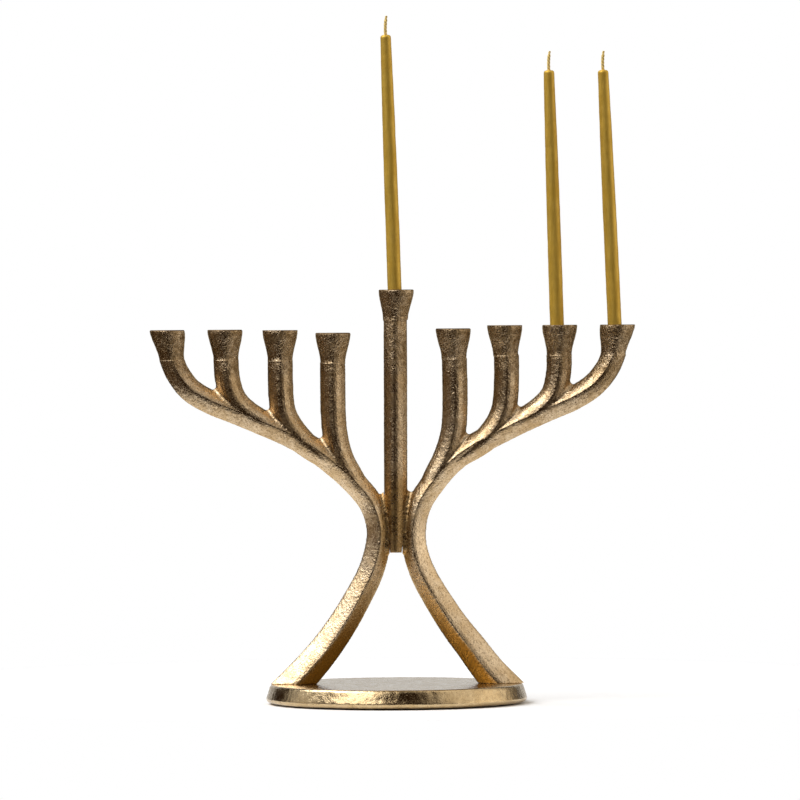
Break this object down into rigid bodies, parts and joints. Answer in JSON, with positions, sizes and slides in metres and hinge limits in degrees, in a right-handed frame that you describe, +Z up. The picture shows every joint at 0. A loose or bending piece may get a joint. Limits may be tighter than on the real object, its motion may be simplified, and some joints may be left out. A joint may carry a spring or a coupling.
{
  "type": "menorah",
  "caption": "Candelabrum for Hanukkah: ridged curved arms rise from a waist to a level row of flared cups with a raised centre cup, on a round base, with slim taper candles.",
  "frame": {"origin": "centre of the underside of the base, on the table", "axes": "+Z up, X along the row of cups, -Y the front"},
  "size_m": [0.3354, 0.181, 0.4743],
  "materials": {
    "aged_brass": "sand-cast, aged and rubbed bright on the high faces",
    "felt": "dense wool felt",
    "steel": "zinc plated",
    "wax": "metallic gold dipped wax, satin",
    "wick": "braided cotton, gold tinted"
  },
  "bodies": {
    "root": {"base_plate": "aged_brass", "left_frame": "aged_brass", "right_frame": "aged_brass", "centre_stem": "aged_brass", "cup_1": "aged_brass", "cup_2": "aged_brass", "cup_3": "aged_brass", "cup_4": "aged_brass", "cup_5": "aged_brass", "cup_6": "aged_brass", "cup_7": "aged_brass", "cup_8": "aged_brass", "cup_9": "aged_brass", "base_felt": "felt", "leg_screws": "steel", "leg_washers": "steel", "waist_dowels": "steel", "cup_studs": "steel"},
    "centre_candle": {"centre_candle": "wax", "centre_wick": "wick"},
    "right_inner_candle": {"right_inner_candle": "wax", "right_inner_wick": "wick"},
    "right_outer_candle": {"right_outer_candle": "wax", "right_outer_wick": "wick"}
  },
  "joints": [
    {"name": "centre_candle_lift", "type": "slide", "parent": "root", "child": "centre_candle", "axis": [-0.0297, 0, 0.9996], "range_m": [0, 0.03]},
    {"name": "right_inner_candle_lift", "type": "slide", "parent": "root", "child": "right_inner_candle", "axis": [-0.0262, 0, 0.9997], "range_m": [0, 0.03]},
    {"name": "right_outer_candle_lift", "type": "slide", "parent": "root", "child": "right_outer_candle", "axis": [-0.0401, 0, 0.9992], "range_m": [0, 0.03]}
  ]
}
